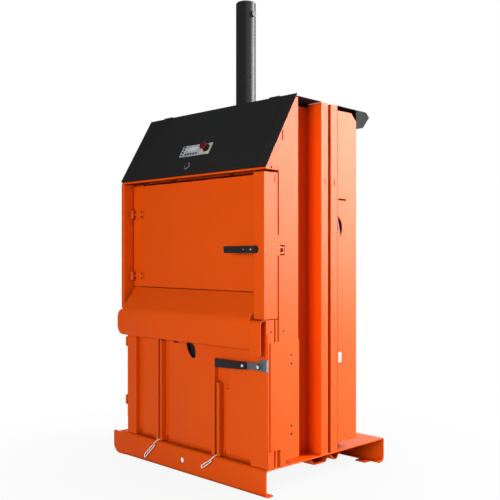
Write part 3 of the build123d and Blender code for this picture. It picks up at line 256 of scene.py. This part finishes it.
def plastic(name, colour, rough, grain=260.0, strength=0.12):
    """Moulded plastic with a fine spark-eroded grain."""
    m = Material(name)
    m.out("Base Color", m.tint(colour, m.ramp(m.noise(14.0, 3.0), 0.3, 0.7, 0.88, 1.12)))
    m.out("Roughness", m.ramp(m.noise(60.0, 2.0), 0.3, 0.7, rough - 0.05, rough + 0.06))
    m.bump(m.noise(grain, 2.0), strength, 0.0003, 0.0008)
    return m.mat


def strap_weave(name):
    """Woven polyester strap, off-white with a fine cross rib."""
    m = Material(name)
    wave = m.new("TexWave", Vector=m.coords(), Scale=260.0, Distortion=0.6).outputs["Fac"]
    m.out("Base Color", m.mix(wave, rgb(0.72, 0.70, 0.66), rgb(0.88, 0.87, 0.84)))
    m.out("Roughness", 0.85)
    m.out("Sheen Weight", 0.3)
    m.bump(m.math("ADD", wave, m.noise(420.0, 3.0)), 0.5, 0.0004)
    return m.mat


ORANGE = powder_coat("orange_coat", (0.69, 0.076, 0.002), (0.66, 0.07, 0.002), 0.33,
                     grain=420.0, strength=0.1, shine=0.3, edge=0.0022)
BLACK = powder_coat("black_coat", (0.02, 0.0205, 0.021), (0.017, 0.017, 0.018), 0.62,
                    grain=620.0, strength=0.4, shine=0.09)
RAM = powder_coat("ram_coat", (0.021, 0.021, 0.022), (0.018, 0.018, 0.019), 0.3,
                  grain=300.0, strength=0.05, shine=0.35)
UNIT = powder_coat("unit_coat", (0.17, 0.18, 0.19), (0.14, 0.15, 0.16), 0.35,
                   grain=300.0, strength=0.1)
ZINC = metal("zinc_plate", (0.86, 0.87, 0.88), 0.36, (1, 1, 6), metallic=0.5)
STEEL = metal("mill_steel", (0.32, 0.32, 0.33), 0.45, (1, 8, 1))
CHROME = metal("hard_chrome", (0.78, 0.78, 0.8), 0.12, (1, 1, 0.2))
DARK_BOLT = metal("black_zinc", (0.11, 0.09, 0.08), 0.4, (1, 1, 4))
BLUE_STEEL = metal("blue_steel", (0.17, 0.19, 0.215), 0.46, (4, 1, 1), metallic=0.45)
FOIL = metal("bare_foil", (0.4, 0.38, 0.37), 0.5, (1, 6, 1), scale=60.0)
GRIP = plastic("black_grip", (0.016, 0.016, 0.017), 0.42)
NYLON = plastic("nylon", (0.66, 0.64, 0.56), 0.5)
PANEL = plastic("panel_grey", (0.36, 0.38, 0.39), 0.45, grain=300.0, strength=0.05)
RED = plastic("stop_red", (0.15, 0.004, 0.009), 0.24, grain=200.0, strength=0.03)
YELLOW = plastic("panel_yellow", (0.5, 0.45, 0.29), 0.45, grain=300.0, strength=0.05)
INK = plastic("panel_ink", (0.02, 0.02, 0.022), 0.45, grain=300.0, strength=0.05)
PALE = plastic("panel_display", (0.5, 0.54, 0.5), 0.25, grain=300.0, strength=0.02)
STRAP = strap_weave("strap_weave")

PAINT = {
    "orange_paint": ORANGE, "black_paint": BLACK, "ram_paint": RAM, "unit_grey": UNIT,
    "zinc": ZINC, "raw_steel": STEEL, "chrome_rod": CHROME, "dark_bolt": DARK_BOLT,
    "latch_steel": BLUE_STEEL, "black_plastic": GRIP, "nylon": NYLON, "panel_grey": PANEL,
    "stop_red": RED, "strap_white": STRAP, "label": FOIL,
}
NODE_PAINT = {"door_catch": ORANGE, "hatch_lock": RAM}


def paint_nodes():
    """Materials on the slots of the part's nodes."""
    for part in frame["record"]["subparts"]:
        mat = NODE_PAINT.get(part["node"], PAINT[part["material_slot"]])
        slots = frame["nodes"][part["node"]].data.materials
        if not len(slots):
            slots.append(mat)
        for i in range(len(slots)):
            slots[i] = mat


paint_nodes()
strap("strap_tail_left_cord", "strap_tail_left", TAIL_LEFT)
strap("strap_tail_right_cord", "strap_tail_right", TAIL_RIGHT)
strap("strap_strand_cord", "strap_strand", STRAND)


# Shapes of the detail pieces
def piece(name, bm, mat, body):
    """Turn a worked mesh into a piece that rides on a body."""
    bmesh.ops.recalc_face_normals(bm, faces=bm.faces)
    mesh = bpy.data.meshes.new(name)
    bm.to_mesh(mesh)
    bm.free()
    mesh.polygons.foreach_set("use_smooth", [True] * len(mesh.polygons))
    mesh.set_sharp_from_angle(angle=math.radians(35))
    mesh.materials.append(mat)
    obj = bpy.data.objects.new(name, mesh)
    bpy.context.collection.objects.link(obj)
    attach(obj, body)
    return obj


def skin(bm, rings, caps=True):
    """Faces between rings of vertices, closed at both ends or round in a loop."""
    pairs = list(zip(rings, rings[1:]))
    if not caps:
        pairs.append((rings[-1], rings[0]))
    for low, high in pairs:
        for i in range(len(low)):
            j = (i + 1) % len(low)
            bm.faces.new((low[i], low[j], high[j], high[i]))
    if caps:
        bm.faces.new(rings[0])
        bm.faces.new(rings[-1])


def lathe(bm, place, centre, profile, sides=32, caps=True):
    """A turned form over a face, from rows of radius and height.

    A third number in a row makes that ring a hexagon with its corners at the radius.
    """
    rings = []
    for radius, height, *hexed in profile:
        ring = []
        for i in range(sides):
            a = 2 * math.pi * i / sides
            r = radius
            if hexed:
                r *= math.cos(math.pi / 6) / math.cos((a % (math.pi / 3)) - math.pi / 6)
            u, v = centre[0] + r * math.cos(a), centre[1] + r * math.sin(a)
            ring.append(bm.verts.new(place(u, v, height)))
        rings.append(ring)
    skin(bm, rings, caps)


def pad(bm, place, centre, size, low, high, corner, crown, steps=5):
    """A plate with round corners and a crowned edge, between two heights over a face."""
    rings = []
    crowned = ((0, low), (0, high - crown), (0.3 * crown, high - 0.3 * crown), (crown, high))
    for inset, height in crowned:
        ring = []
        for sign_u, sign_v, start in ((1, 1, 0), (-1, 1, 90), (-1, -1, 180), (1, -1, 270)):
            for k in range(steps + 1):
                a = math.radians(start + 90 * k / steps)
                r = corner - inset
                u = centre[0] + sign_u * (size[0] / 2 - corner) + r * math.cos(a)
                v = centre[1] + sign_v * (size[1] / 2 - corner) + r * math.sin(a)
                ring.append(bm.verts.new(place(u, v, height)))
        rings.append(ring)
    skin(bm, rings)


def tube(bm, points, radius, sides, ripple=0.0):
    """A round bar along points of the press, or a weld bead where it ripples."""
    points = [Vector(point) for point in points]
    rings = []
    side = (points[1] - points[0]).orthogonal()
    for i, point in enumerate(points):
        ahead = points[min(i + 1, len(points) - 1)] - points[max(i - 1, 0)]
        side = (side - ahead * (side.dot(ahead) / ahead.dot(ahead))).normalized()
        third = ahead.normalized().cross(side)
        r = radius * (1 + ripple * (-1) ** i)
        ring = []
        for k in range(sides):
            a = 2 * math.pi * k / sides
            spot = point + side * (r * math.cos(a)) + third * (r * math.sin(a))
            ring.append(bm.verts.new(at(*spot)))
        rings.append(ring)
    skin(bm, rings)


# Places over a face: two measures along it and the height over it
def front_of(y):
    """Over a face that looks forward."""
    return lambda u, v, w: at(u, y - w, v)


def right_of(x):
    """Over a face that looks to the right."""
    return lambda u, v, w: at(x + w, u, v)


def left_of(x):
    """Over a face that looks to the left."""
    return lambda u, v, w: at(x - w, u, v)


def top_of(z):
    """Over a face that looks up."""
    return lambda u, v, w: at(u, v, z + w)


def under(z):
    """Over a face that looks down."""
    return lambda u, v, w: at(u, v, z - w)


# Fasteners
def socket_head(bm, place, centre, r):
    """Domed screw head with a hexagon socket."""
    lathe(bm, place, centre, (
        (r, 0), (r, 0.12 * r), (0.9 * r, 0.26 * r), (0.66 * r, 0.34 * r),
        (0.5 * r, 0.36 * r), (0.5 * r, 0.34 * r, 1), (0.48 * r, 0.1 * r, 1)))


def button_head(bm, place, centre, r, height):
    """Whole button head with a hexagon socket, from its seat to its crown."""
    lathe(bm, place, centre, (
        (r, 0), (r, 0.2 * height), (0.93 * r, 0.55 * height), (0.76 * r, 0.86 * height),
        (0.56 * r, height), (0.5 * r, height), (0.48 * r, 0.98 * height, 1),
        (0.46 * r, 0.45 * height, 1)))


def hex_head(bm, place, centre, r, height):
    """Hexagon head on its washer."""
    lathe(bm, place, centre, ((1.45 * r, 0), (1.45 * r, 1.2), (1.35 * r, 1.5), (r, 1.5)))
    lathe(bm, place, centre, ((r, 1.4, 1), (r, height - 0.1 * r, 1), (0.9 * r, height)))


# Control plate, stop button and lock: middles lie across and up the slope, and a
# field is a middle and a size
PLATE_TOP = 3.0
PLATE_SCREW_SEAT = 2.9
PLATE_SCREW_X = (-112.0, 93.0)
PLATE_SCREW_S = (112.0, 168.0)
FIELD = ((63.0, 140.0), (62.0, 56.0))
BEZEL = ((-36.0, 150.0), (74.0, 30.0))
DISPLAY = ((-36.0, 150.0), (66.0, 23.0))
DISPLAY_SEAT = 4.2
KEYS_UP = [(-100.0, s) for s in (117.0, 133.0, 149.0, 163.0)]
KEYS_ACROSS = [(-72.0 + 19.0 * k, 119.0) for k in range(5)]
STOP = (66.0, 141.0)
STOP_RING = ((16.0, 3.2), (21.0, 3.2), (21.0, 5.6), (19.5, 7.0), (17.0, 7.0))
LOCK = (-22.0, 50.0)
LOCK_RING = ((13.6, 0.2), (18.5, 0.2), (18.0, 1.6), (16.5, 2.4), (13.6, 2.4))


def over_plate(u, v, w):
    """Over the control plate, where its screws sit."""
    return on_hood(u, v, PLATE_SCREW_SEAT + w)


def hood_panel():
    """Keys, display, coloured field and screws of the bare control plate, and two rings."""
    bm = bmesh.new()
    pad(bm, on_hood, *FIELD, PLATE_TOP, 3.5, corner=4.0, crown=0.3)
    piece("panel_stop_field", bm, YELLOW, "hood_hatch")
    bm = bmesh.new()
    pad(bm, on_hood, *BEZEL, PLATE_TOP, 4.4, corner=3.0, crown=0.8)
    piece("panel_bezel", bm, PANEL, "hood_hatch")
    bm = bmesh.new()
    pad(bm, on_hood, *DISPLAY, DISPLAY_SEAT, 4.7, corner=2.0, crown=0.2)
    piece("panel_display", bm, PALE, "hood_hatch")
    bm = bmesh.new()
    for keys, size in ((KEYS_UP, (15.0, 9.0)), (KEYS_ACROSS, (13.0, 10.0))):
        for key in keys:
            pad(bm, on_hood, key, size, PLATE_TOP, 4.6, corner=2.0, crown=0.7)
    piece("panel_keys", bm, INK, "hood_hatch")
    bm = bmesh.new()
    for x in PLATE_SCREW_X:
        for s in PLATE_SCREW_S:
            socket_head(bm, over_plate, (x, s), 2.2)
    piece("panel_screws", bm, ZINC, "hood_hatch")
    bm = bmesh.new()
    lathe(bm, on_hood, STOP, STOP_RING, sides=48, caps=False)
    piece("stop_ring", bm, GRIP, "hood_hatch")
    bm = bmesh.new()
    lathe(bm, on_hood, LOCK, LOCK_RING, sides=48, caps=False)
    piece("lock_ring", bm, UNIT, "hood_hatch")


# Bale door latch and upper door handle: across and height, the depth of the face,
# and a washer's profile or a head's radius
LATCH_PIVOT = (482.0, 550.0)
LATCH_SCREW = (403.0, 550.0)
LATCH_WASHERS = (
    (LATCH_PIVOT, -4.0, ((8.2, 0), (12.5, 0), (12.5, 1.2), (11.8, 1.7), (8.2, 1.7))),
    (LATCH_SCREW, -22.2, ((6.7, 0), (10.5, 0), (10.5, 1.0), (9.9, 1.4), (6.7, 1.4))),
)
LATCH_HEADS = ((LATCH_PIVOT, -9.9, 7.8), (LATCH_SCREW, -26.9, 6.3))
HANDLE_PIVOT = (470.0, 1047.0)
HANDLE_HEADS = (((457.0, 1047.0), -27.9, 3.4), ((413.0, 1047.0), -27.9, 2.6))
STILE_FRONT = -10.0
HANDLE_ROSE = ((11.4, 0.2), (17.0, 0.2), (16.6, 1.2), (15.4, 1.9), (11.4, 1.9))


def latch_and_handle():
    """Washers and screw heads of the bale door latch and of the upper door handle."""
    bm = bmesh.new()
    for centre, y, profile in LATCH_WASHERS:
        lathe(bm, front_of(y), centre, profile, sides=36, caps=False)
    piece("latch_washers", bm, GRIP, "bale_latch")
    for name, heads, body in (("latch_heads", LATCH_HEADS, "bale_latch"),
                              ("handle_screws", HANDLE_HEADS, "upper_handle")):
        bm = bmesh.new()
        for centre, y, r in heads:
            socket_head(bm, front_of(y), centre, r)
        piece(name, bm, ZINC, body)
    bm = bmesh.new()
    lathe(bm, front_of(STILE_FRONT), HANDLE_PIVOT, HANDLE_ROSE, sides=40, caps=False)
    piece("handle_rose", bm, GRIP, "upper_door")


# Bolts and hinge pins. A side bolt has its depth, its height and the distance of its
# face from the middle, a head its radius and height, a pin its half length and radius.
POST_BOLT = (38.0, 698.0, 516.0)
SIDE_BOLTS = ((114.0, 698.0, 516.0), (40.0, 1396.0, 516.0), (160.0, 590.0, 520.0),
              (160.0, 553.0, 520.0), (160.0, 284.0, 520.0), (160.0, 248.0, 520.0))
SIDE_HEAD = (5.5, 3.0)
LEAF_FACE = 56.0
LEAF_BOLT_X = -416.0
LEAF_BOLT_STEP = 12.0
LEAF_HEAD = (5.0, 3.5)
RAM_Y = 392.0
FLANGE_TOP = 1696.0
FLANGE_BOLTS = (58.0, 42.0)
FLANGE_HEAD = (9.0, 9.0)
UPPER_AXIS = (-478.0, 42.0)
UPPER_HINGE_Z = (1231.0, 917.0)
UPPER_PIN = (20.0, 5.6)
LOWER_AXIS = (-484.0, 12.0)
LOWER_HINGE_Z = (582.0, 285.0)
LOWER_PIN = (22.0, 3.8)


def bolt_heads():
    """Button heads on the sides and on the hinge leaves, and the bolts of the ram flange."""
    bm = bmesh.new()
    for y, z, x in (POST_BOLT,) + SIDE_BOLTS:
        button_head(bm, right_of(x), (y, z), *SIDE_HEAD)
    for y, z, x in SIDE_BOLTS:
        button_head(bm, left_of(-x), (y, z), *SIDE_HEAD)
    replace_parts(piece("frame_bolt_heads", bm, DARK_BOLT, "frame"), "frame_bolts")
    bm = bmesh.new()
    for z in UPPER_HINGE_Z:
        for dz in (-LEAF_BOLT_STEP, LEAF_BOLT_STEP):
            button_head(bm, front_of(LEAF_FACE), (LEAF_BOLT_X, z + dz), *LEAF_HEAD)
    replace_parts(piece("upper_leaf_heads", bm, DARK_BOLT, "upper_door"),
                "upper_door_bolts")
    bm = bmesh.new()
    for side in (-1, 1):
        for end in (-1, 1):
            bolt = (side * FLANGE_BOLTS[0], RAM_Y + end * FLANGE_BOLTS[1])
            hex_head(bm, top_of(FLANGE_TOP), bolt, *FLANGE_HEAD)
    piece("ram_flange_bolts", bm, ZINC, "frame")


def hinge_caps():
    """Rounded ends of the hinge pins."""
    bm = bmesh.new()
    for axis, heights, (half, r) in ((UPPER_AXIS, UPPER_HINGE_Z, UPPER_PIN),
                                     (LOWER_AXIS, LOWER_HINGE_Z, LOWER_PIN)):
        profile = ((r, 0), (r, 1.0), (0.8 * r, 2.0), (0.4 * r, 2.6))
        for z in heights:
            lathe(bm, top_of(z + half), axis, profile, sides=20)
            lathe(bm, under(z - half), axis, profile, sides=20)
    piece("hinge_pin_ends", bm, STEEL, "frame")


# Weld beads: height, radius and thickness round the ram, and the seams between cross
# beam and columns with their foot and length
RAM_BEAD = (1697.0, 51.5, 2.6)
RAM_BEAD_STEPS = 72
SEAM_X = 430.0
SEAM_Y = (331.0, 453.0)
SEAM_Z = (1582.0, 96.0)
SEAM_STEPS = 48
SEAM_R = 2.4
BEAD_SIDES = 8
BEAD_RIPPLE = 0.12


def welds():
    """Weld beads round the ram and along the beam."""
    bm = bmesh.new()
    z, r, bead = RAM_BEAD
    turns = [2 * math.pi * i / RAM_BEAD_STEPS for i in range(RAM_BEAD_STEPS + 2)]
    round_ram = [(r * math.cos(a), RAM_Y + r * math.sin(a), z) for a in turns]
    tube(bm, round_ram, bead, BEAD_SIDES, BEAD_RIPPLE)
    for y in SEAM_Y:
        for x in (-SEAM_X, SEAM_X):
            seam = [(x, y, SEAM_Z[0] + SEAM_Z[1] * i / SEAM_STEPS) for i in range(SEAM_STEPS + 1)]
            tube(bm, seam, SEAM_R, BEAD_SIDES, BEAD_RIPPLE)
    piece("ram_welds", bm, RAM, "frame")


# Power unit under the hood: tops and fronts of its boxes, and what sits on them
TANK_TOP = 1670.0
TANK_FILLER = (-370.0, 240.0)
FILLER_CAP = ((16.0, -3.0), (17.0, 0.0), (17.0, 7.0), (15.0, 9.0), (6.0, 10.0))
VALVE_TOP = 1688.0
VALVE_COILS = ((-262.0, 287.0), (-228.0, 287.0))
COIL = ((11.0, 0.0), (12.0, 1.5), (12.0, 17.0), (9.0, 19.5))
TANK_FRONT = 200.0
SIGHT_GLASS = ((-330.0, 1590.0), (16.0, 62.0))
MOTOR_FRONT = 206.0
TERMINAL_BOX = ((-125.0, 1597.0), (60.0, 44.0))
BOX_FRONT = 196.0
BOX_DOOR = ((260.0, 1600.0), (250.0, 104.0))
DOOR_FRONT = 192.0
BOX_HANDLE = ((372.0, 1600.0), (12.0, 34.0))


def power_unit():
    """Filler cap, coils, sight glass and terminal box, and the control box's door."""
    bm = bmesh.new()
    lathe(bm, top_of(TANK_TOP), TANK_FILLER, FILLER_CAP, sides=24)
    for centre in VALVE_COILS:
        lathe(bm, top_of(VALVE_TOP), centre, COIL, sides=24)
    piece("unit_caps", bm, GRIP, "frame")
    bm = bmesh.new()
    pad(bm, front_of(TANK_FRONT), *SIGHT_GLASS, 0.0, 3.0, corner=7.0, crown=1.2)
    pad(bm, front_of(MOTOR_FRONT), *TERMINAL_BOX, 0.0, 20.0, corner=5.0, crown=2.0)
    piece("unit_covers", bm, UNIT, "frame")
    bm = bmesh.new()
    pad(bm, front_of(BOX_FRONT), *BOX_DOOR, 0.2, 4.0, corner=6.0, crown=1.5)
    pad(bm, front_of(DOOR_FRONT), *BOX_HANDLE, 0.0, 7.0, corner=4.0, crown=2.0)
    piece("control_box_door", bm, UNIT, "frame")


# Wound strap: the spools' axis, and the windings' radius, first place and pitch
SPOOL_Y = 545.0
SPOOL_Z = 684.0
WINDING_R = 47.6
WINDING_X = 447.9
WINDING_PITCH = 2.55
WINDING_TURNS = 22
TURN_STEPS = 28


def spool_windings():
    """Wound strap on both spools."""
    for side, name in ((1, "right"), (-1, "left")):
        bm = bmesh.new()
        points = []
        for i in range(WINDING_TURNS * TURN_STEPS + 1):
            a = 2 * math.pi * i / TURN_STEPS
            points.append((side * (WINDING_X + WINDING_PITCH * i / TURN_STEPS),
                           SPOOL_Y + WINDING_R * math.cos(a), SPOOL_Z + WINDING_R * math.sin(a)))
        tube(bm, points, 1.3, 6)
        piece("strap_windings_" + name, bm, STRAP, "strap_spool_" + name)


# Upper door: its sweep, and the hook and screws of its catch
DOOR_BOTTOM = 864.0
SWEEP = ((-16.0, 66.2), (940.0, 11.6))
CATCH_FACE = 512.8
CATCH_HOOK = ((507, 110, 1050), (508, 106, 1047.5), (508, 102, 1043.5), (508, 99.5, 1039.5),
              (507, 101, 1038), (506, 105, 1038.5))
CATCH_SCREWS = ((92.0, 1055.0), (118.5, 1033.0), (118.5, 1055.0))


def door_fittings():
    """Sweep under the upper door, hook and screws of its catch."""
    bm = bmesh.new()
    pad(bm, under(DOOR_BOTTOM), *SWEEP, 0.0, 1.2, corner=2.0, crown=0.5)
    piece("upper_door_sweep", bm, ORANGE, "upper_door")
    bm = bmesh.new()
    tube(bm, CATCH_HOOK, 2.6, 10)
    piece("catch_hook", bm, DARK_BOLT, "frame")
    bm = bmesh.new()
    for centre in CATCH_SCREWS:
        socket_head(bm, right_of(CATCH_FACE), centre, 2.8)
    piece("catch_screws", bm, ZINC, "frame")


hood_panel()
latch_and_handle()
bolt_heads()
hinge_caps()
welds()
power_unit()
spool_windings()
door_fittings()


# Light, surround and floor
LIGHTS = (
    ("right_key", (3.1, 3.3, 3.1), (0.5, 0.1, 1.2), (1.4, 2.4), 660.0),
    ("front_key", (2.0, -5.2, 1.3), (0, 0, 0.9), (1.8, 1.8), 232.0),
    ("left_fill", (-4.4, 0.5, 1.7), (0, 0, 1.0), (2.0, 2.0), 190.0),
)
AMBIENT = 0.2
WINDOW = 15.0
WINDOW_WAY = (0.643, 0.766)
WINDOW_EDGE = (0.86, 0.97)
WINDOW_RISE = (-0.22, 0.22)
SURROUND = (0.02, 0.8)
SURROUND_EDGE = (-0.3, 0.15)
WHITE = rgb(1.0, 1.0, 1.0)
FLOOR_HALF = 14.0
FLOOR_SHADE = rgb(0.3, 0.3, 0.3)
FLOOR_FADE = (0.55, 1.7)
FLOOR_WHITE = (0.91, 1.0)


def area_light(name, place, target, size, power):
    """A soft lamp that doesn't show in reflections."""
    data = bpy.data.lights.new(name, "AREA")
    data.shape = "RECTANGLE"
    data.size, data.size_y = size
    data.energy = power
    lamp = bpy.data.objects.new(name, data)
    bpy.context.collection.objects.link(lamp)
    lamp.location = place
    way = Vector(target) - Vector(place)
    lamp.rotation_euler = way.to_track_quat("-Z", "Y").to_euler()
    lamp.visible_glossy = False


def studio():
    """Studio surround: a bright window behind on the right, a dark side in front on the left.

    Gloss shows the window and the dark side, the camera sees plain white, and the
    rest of the light is even.
    """
    world = bpy.data.worlds.new("studio")
    bpy.context.scene.world = world
    world.use_nodes = True
    world.node_tree.nodes.clear()
    t = Tree(world.node_tree)
    way = t.new("TexCoord").outputs["Generated"]
    x, y, z = t.new("SeparateXYZ", Vector=way).outputs
    across = t.math("ADD", t.math("MULTIPLY", x, WINDOW_WAY[0]),
                    t.math("MULTIPLY", y, WINDOW_WAY[1]))
    wide = t.ramp(across, *WINDOW_EDGE, 0.0, 1.0, interpolation_type="SMOOTHSTEP")
    high = t.ramp(z, *WINDOW_RISE, 0.0, 1.0, interpolation_type="SMOOTHSTEP")
    surround = t.ramp(across, *SURROUND_EDGE, *SURROUND, interpolation_type="SMOOTHSTEP")
    glossy = t.math("MULTIPLY_ADD", t.math("MULTIPLY", wide, high), WINDOW, surround)
    even, seen_in_gloss, seen = (
        t.new("Background", Color=WHITE, Strength=strength).outputs[0]
        for strength in (AMBIENT, glossy, 1.0))
    ray = t.new("LightPath").outputs
    mixed = t.mix_shader(ray["Is Glossy Ray"], even, seen_in_gloss)
    mixed = t.mix_shader(ray["Is Camera Ray"], mixed, seen)
    t.new("OutputWorld", Surface=mixed)


def floor():
    """Pale floor that keeps the soft shadow and fades into the white behind it."""
    mesh = bpy.data.meshes.new("floor")
    r = FLOOR_HALF
    mesh.from_pydata([(-r, -r, 0), (r, -r, 0), (r, r, 0), (-r, r, 0)], [], [(0, 1, 2, 3)])
    m = Material("pale_floor")
    m.out("Base Color", FLOOR_SHADE)
    m.out("Roughness", 0.9)
    glow = m.new("Emission", Strength=1.0, Color=WHITE).outputs[0]
    reach = m.new("VectorMath", operation="LENGTH", Vector=m.coords()).outputs["Value"]
    seen = m.new("LightPath").outputs["Is Camera Ray"]
    share = m.math("MULTIPLY", seen, m.ramp(reach, *FLOOR_FADE, *FLOOR_WHITE))
    surface = m.mix_shader(share, m.bsdf.outputs[0], glow)
    m.tree.links.new(surface, m.tree.nodes["Material Output"].inputs["Surface"])
    mesh.materials.append(m.mat)
    obj = bpy.data.objects.new("floor", mesh)
    bpy.context.collection.objects.link(obj)


for light in LIGHTS:
    area_light(*light)
studio()
floor()
